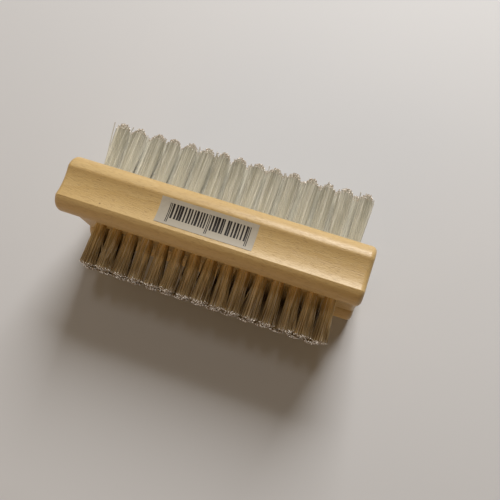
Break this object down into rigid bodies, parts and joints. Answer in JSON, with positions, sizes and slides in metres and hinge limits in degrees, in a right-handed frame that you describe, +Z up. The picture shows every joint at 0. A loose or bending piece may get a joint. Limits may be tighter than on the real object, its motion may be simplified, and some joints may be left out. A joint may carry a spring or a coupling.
{
  "type": "double-sided nail brush",
  "caption": "Wooden hand and nail brush with long stiff nylon bristles on one side, short ones on the other and a finger groove along each grip side.",
  "frame": {"origin": "on the surface the brush lies on, under the middle of its outline", "axes": "+X along the block, +Y towards the long bristles, +Z up through the labelled grip side, as it lies in the picture"},
  "size_m": [0.095, 0.0482, 0.039],
  "materials": {
    "wood": "pale beech, satin varnish",
    "paper": "matte white sticker",
    "nylon": "translucent off-white filament",
    "wire": "flat wire"
  },
  "bodies": {
    "root": {"block": "wood", "label": "paper", "main_bristles_1": "nylon", "main_bristles_2": "nylon", "main_bristles_3": "nylon", "main_bristles_4": "nylon", "nail_bristles_1": "nylon", "nail_bristles_2": "nylon", "main_anchors": "wire", "nail_anchors": "wire"}
  },
  "joints": []
}
